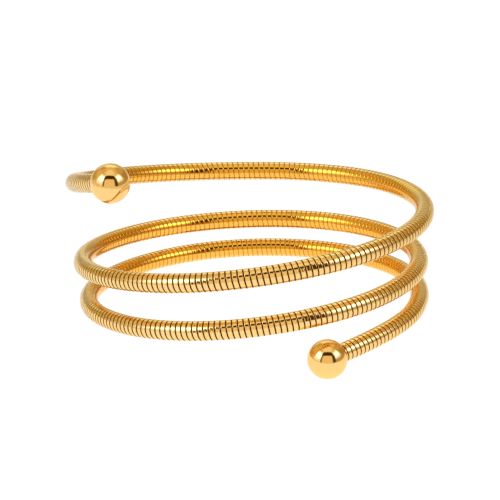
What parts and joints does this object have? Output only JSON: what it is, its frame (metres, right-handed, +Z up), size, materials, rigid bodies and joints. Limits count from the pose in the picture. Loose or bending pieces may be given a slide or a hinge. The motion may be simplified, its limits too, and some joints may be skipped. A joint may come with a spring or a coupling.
{
  "type": "coiled wrap bracelet",
  "caption": "Springy round chain of tightly wound gold strip, coiled as an open wrap bracelet with a polished ball closing each end.",
  "frame": {"origin": "centre of the resting coil's footprint, on the surface that it stands on", "axes": "+Z up out of the surface; both balls are on the -Y side, the lower one to the +X side and the upper one to the -X side"},
  "size_m": [0.0638, 0.0636, 0.0335],
  "materials": {
    "chain_gold": "polished yellow gold plate on wound strip",
    "ball_gold": "mirror polished yellow gold plate"
  },
  "bodies": {
    "root": {"lower_ball": "ball_gold", "lower_chain": "chain_gold", "upper_chain": "chain_gold", "upper_ball": "ball_gold"}
  },
  "joints": []
}
